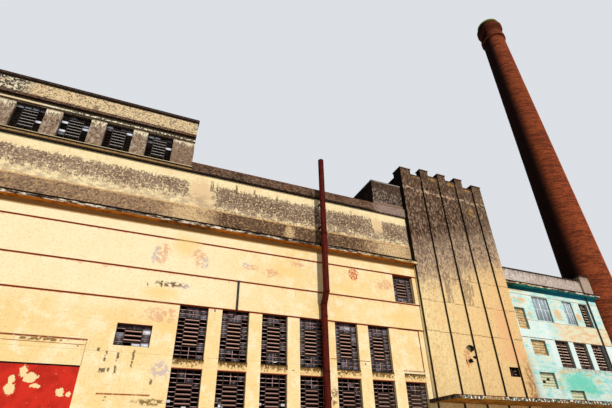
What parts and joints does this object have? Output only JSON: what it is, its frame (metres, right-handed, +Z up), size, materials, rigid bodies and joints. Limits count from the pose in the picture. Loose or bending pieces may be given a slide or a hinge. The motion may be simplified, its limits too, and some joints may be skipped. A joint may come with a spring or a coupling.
{
  "type": "factory building, 1:2 scale model",
  "caption": "Old plastered factory at half size: row-window hall with penthouse, finned tower, turquoise wing under a long canopy, and a tapered brick chimney.",
  "frame": {"origin": "on the ground under the tower's front wall, in the plane of the hall's front face, on the tower's centre line", "axes": "+X along the facade to the right, towards the chimney; +Y into the building; +Z up"},
  "size_m": [28.028, 7.26, 28.25],
  "materials": {
    "plaster_cream": "worn cream plaster",
    "plaster_grey": "mould-stained plaster",
    "mouldy_concrete": "mouldy concrete",
    "cornice_paint": "peeling white paint",
    "concrete": "weathered concrete",
    "tower_plaster": "stained tan plaster",
    "turquoise_plaster": "faded turquoise plaster",
    "pink_plaster": "faded pink plaster",
    "red_render": "flaking red paint",
    "block_infill": "bare blockwork",
    "window_steel": "rusty dull paint",
    "rust_steel": "rusty",
    "shutter_paint": "faded pale blue",
    "window_glass": "dusty",
    "pipe_paint": "dull dark red",
    "grey_metal": "dull grey",
    "brick": "sooty red brick"
  },
  "bodies": {
    "root": {"hall_front_wall": "plaster_cream", "hall_banded_wall": "plaster_cream", "hall_cornice": "cornice_paint", "hall_frieze_wall": "plaster_grey", "hall_parapet_caps": "mouldy_concrete", "hall_end_wall": "plaster_cream", "hall_back_wall": "plaster_cream", "hall_window_frames": "window_steel", "hall_window_glass": "window_glass", "back_window_frames": "window_steel", "back_window_glass": "window_glass", "window_infill_panel": "plaster_cream", "gateway_infill": "red_render", "gateway_lintel": "plaster_cream", "penthouse_front_wall": "plaster_grey", "penthouse_rear_walls": "plaster_grey", "penthouse_ledges": "mouldy_concrete", "penthouse_coping": "mouldy_concrete", "penthouse_window_frames": "window_steel", "penthouse_window_glass": "window_glass", "roof_block_walls": "plaster_cream", "floor_slabs": "concrete", "roof_slabs": "concrete", "tower_base_wall": "tower_plaster", "tower_front_wall": "tower_plaster", "tower_fins": "tower_plaster", "tower_copings": "mouldy_concrete", "tower_side_walls": "tower_plaster", "tower_back_wall": "tower_plaster", "tower_cowl": "grey_metal", "wing_base_wall": "turquoise_plaster", "wing_front_wall": "turquoise_plaster", "wing_end_wall": "turquoise_plaster", "wing_back_wall": "turquoise_plaster", "wing_cornice": "cornice_paint", "wing_parapet": "pink_plaster", "wing_end_pier": "pink_plaster", "wing_shutters": "shutter_paint", "wing_window_frames": "rust_steel", "wing_window_glass": "window_glass", "wing_blocked_openings": "block_infill", "canopy_slab": "concrete", "vent_pipe": "pipe_paint", "pipe_brackets": "rust_steel", "thin_pipes": "grey_metal", "chimney_pedestal": "brick", "chimney_shaft": "brick", "chimney_crown": "brick"}
  },
  "joints": []
}
